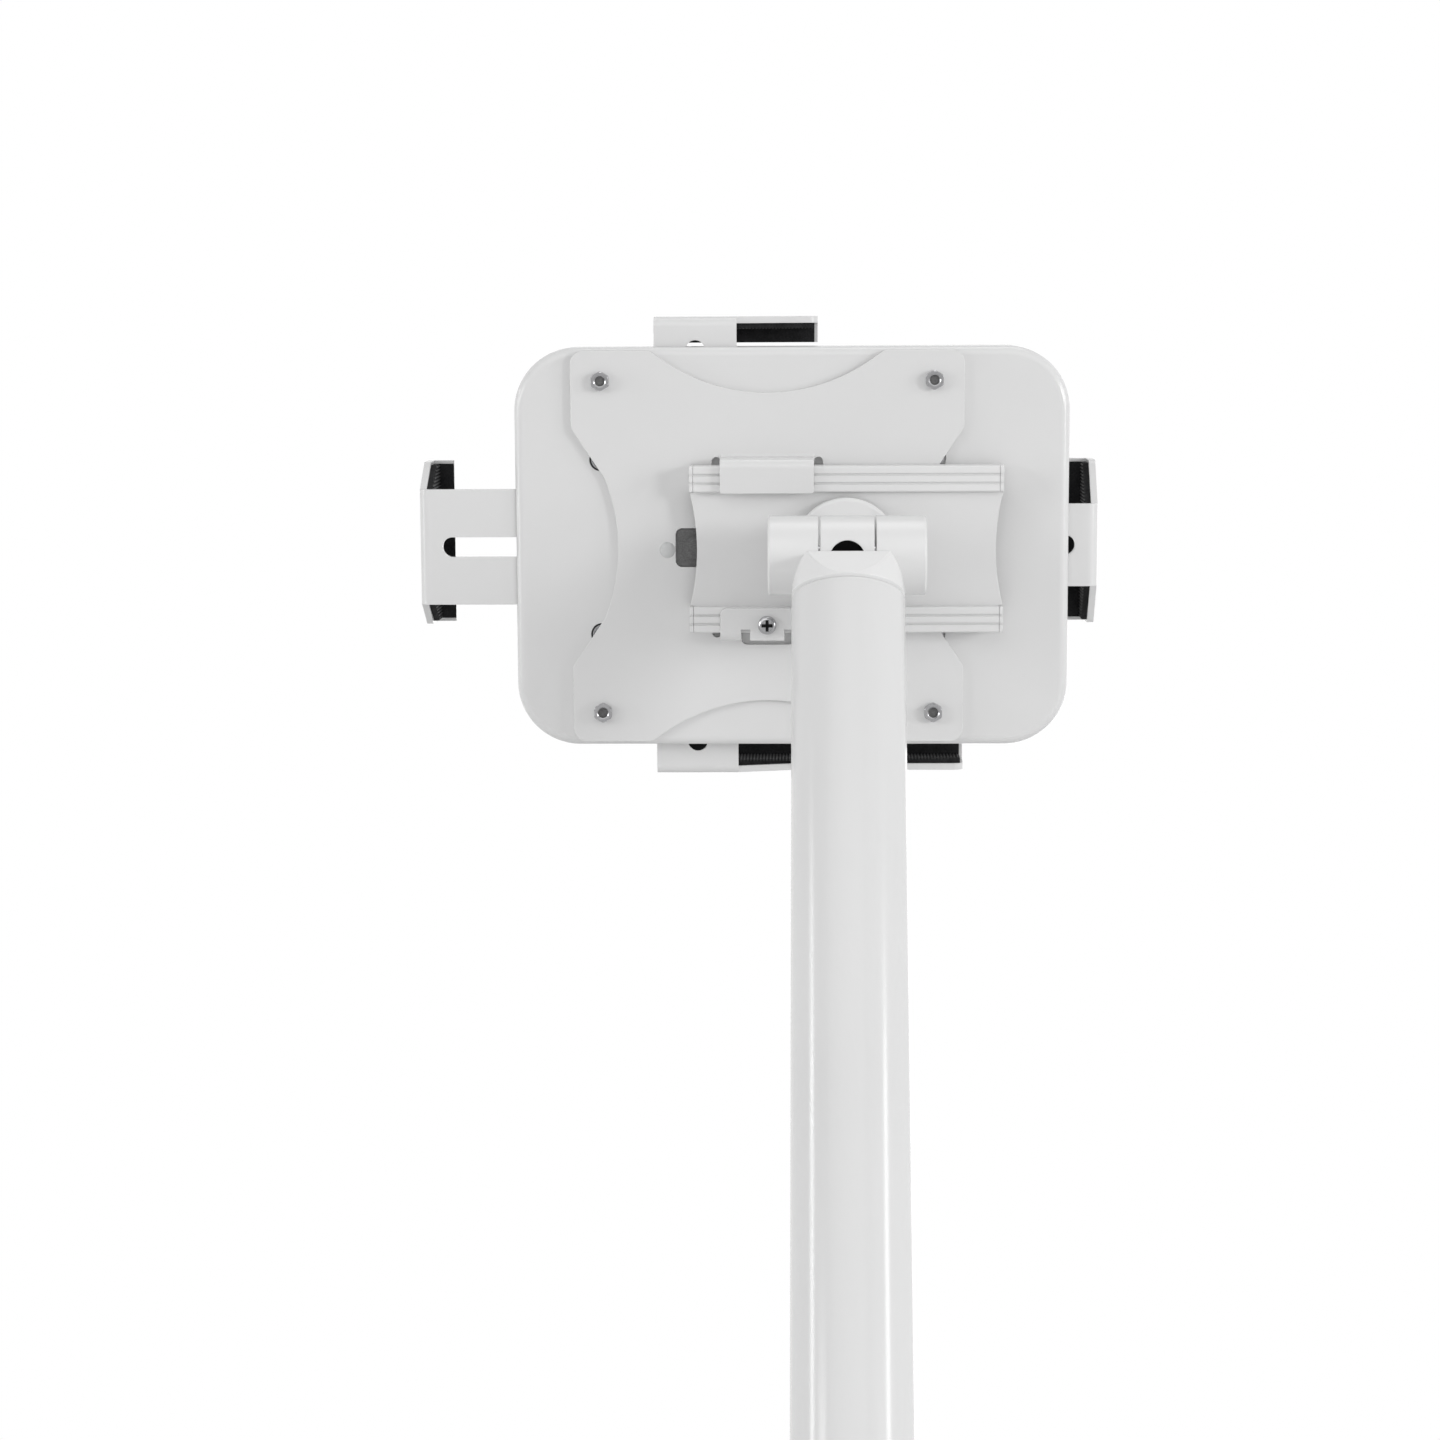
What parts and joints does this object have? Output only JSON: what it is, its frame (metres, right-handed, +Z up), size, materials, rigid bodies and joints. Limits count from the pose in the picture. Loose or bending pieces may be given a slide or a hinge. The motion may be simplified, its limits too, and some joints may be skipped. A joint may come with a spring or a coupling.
{
  "type": "tablet floor stand",
  "caption": "Floor stand with a round base and straight pole, carrying a tilting, turning tablet holder that slides on rails and grips the tablet with sliding arms.",
  "frame": {"origin": "centre of the round base, on the floor", "axes": "+Z up the pole, -Y towards the user and the screen side, X along the tilt axis"},
  "size_m": [0.3799, 0.38, 1.1481],
  "materials": {
    "white_steel": "smooth white powder coat",
    "white_cast": "white powder coat on cast metal",
    "white_rail": "satin white",
    "zinc": "bright zinc",
    "black_steel": "black oxide",
    "black_foam": "matte black foam",
    "black_rubber": "matte black",
    "nylon": "natural nylon",
    "clear_gel": "clear soft plastic"
  },
  "bodies": {
    "stand": {"base_plate": "white_steel", "foot_pads": "black_rubber", "base_bolt": "zinc", "pole_plug": "white_steel", "pole_tube": "white_steel", "pole_head": "white_cast", "tilt_bolt": "zinc", "tilt_nut": "zinc"},
    "head": {"tilt_knuckle": "white_cast", "tension_screw": "black_steel", "turn_bolt": "zinc", "turn_washer": "nylon"},
    "carrier": {"carrier_web": "white_steel", "upper_rail": "white_rail", "lower_rail": "white_rail", "rail_end_caps": "white_rail"},
    "holder": {"vesa_plate": "white_steel", "slide_lock_screw": "zinc", "vesa_studs": "black_steel", "vesa_nuts": "zinc", "holder_shell": "white_steel", "front_cover": "white_steel", "cover_screws": "zinc", "spacer_tubes": "zinc", "clamp_bolt": "black_steel", "clamp_washer": "zinc", "clamp_nut": "black_steel", "plate_bumper": "clear_gel", "front_pads": "black_foam"},
    "left_grip": {"left_arm": "white_steel", "left_pad": "black_foam"},
    "right_grip": {"right_arm": "white_steel", "right_pad": "black_foam"},
    "top_grip": {"top_arm": "white_steel", "top_pad": "black_foam"},
    "bottom_grip": {"bottom_arm": "white_steel", "bottom_pad": "black_foam"}
  },
  "joints": [
    {"name": "tilt", "type": "hinge", "parent": "stand", "child": "head", "pos_m": [0, -0.022, 1.06], "axis": [-1, 0, 0], "range_deg": [-30, 55]},
    {"name": "turn", "type": "hinge", "parent": "head", "child": "carrier", "pos_m": [0, -0.022, 1.06], "axis": [0, 0.866, -0.5], "range_deg": [-90, 90]},
    {"name": "side_shift", "type": "slide", "parent": "carrier", "child": "holder", "axis": [1, 0, 0], "range_m": [-0.055, 0.008]},
    {"name": "left_reach", "type": "slide", "parent": "holder", "child": "left_grip", "axis": [1, 0, 0], "range_m": [-0.022, 0.025]},
    {"name": "right_reach", "type": "slide", "parent": "holder", "child": "right_grip", "axis": [-1, 0, 0], "range_m": [-0.005, 0.024]},
    {"name": "top_reach", "type": "slide", "parent": "holder", "child": "top_grip", "axis": [0, 0.5, 0.866], "range_m": [-0.005, 0.02]},
    {"name": "bottom_reach", "type": "slide", "parent": "holder", "child": "bottom_grip", "axis": [0, -0.5, -0.866], "range_m": [-0.005, 0.02]}
  ]
}
